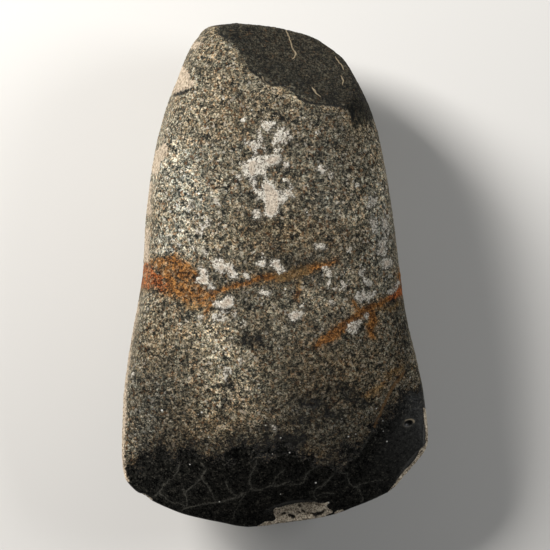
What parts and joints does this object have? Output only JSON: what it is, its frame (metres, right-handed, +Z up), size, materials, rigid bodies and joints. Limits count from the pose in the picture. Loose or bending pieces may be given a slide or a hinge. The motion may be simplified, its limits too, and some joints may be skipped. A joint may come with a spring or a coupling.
{
  "type": "polished stone axe head",
  "caption": "Polished stone axe head: thick trapezoid body with a curved ground cutting edge, narrow ground sides and a chipped, rounded butt, lying on its belly.",
  "frame": {"origin": "middle of the outline (bounding box centre in X and Y) on the surface the axe head lies on", "axes": "+Y from the cutting edge to the butt, +X across the width, +Z up through the thickness"},
  "size_m": [0.085, 0.14, 0.0387],
  "materials": {
    "stone": "speckled dark grey-green dolerite, ground smooth near the cutting edge and pecked above, with rust streaks, pale crust and fresh beige chips"
  },
  "bodies": {
    "root": {"axe_head": "stone"}
  },
  "joints": []
}
